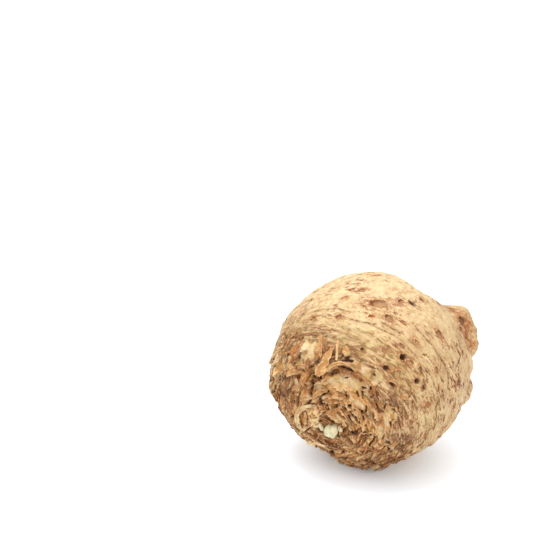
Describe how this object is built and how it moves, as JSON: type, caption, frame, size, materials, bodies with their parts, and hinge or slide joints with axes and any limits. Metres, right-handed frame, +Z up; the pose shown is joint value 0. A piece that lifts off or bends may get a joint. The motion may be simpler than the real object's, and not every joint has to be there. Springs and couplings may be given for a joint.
{
  "type": "celeriac root",
  "caption": "Whole trimmed celeriac lying on its side: a knobbly round root with torn leaf bases round a pale heart, cut root stubs and pitted skin.",
  "frame": {"origin": "middle of the bottom of the bounding box, on the surface that the root rests on", "axes": "+Z up from the flat spot; -Y towards the viewer of the picture; the leafy crown faces forward, left and down, 18 degrees below level at 238 degrees from +X"},
  "size_m": [0.1189, 0.1166, 0.1085],
  "materials": {
    "root_skin": "matt, corky tan skin with brown fibrous leaf bases and dark root pits",
    "young_stalk": "satin, pale mint-white and green plant tissue"
  },
  "bodies": {
    "root": {"corm": "root_skin", "heart_shoots": "young_stalk"}
  },
  "joints": []
}
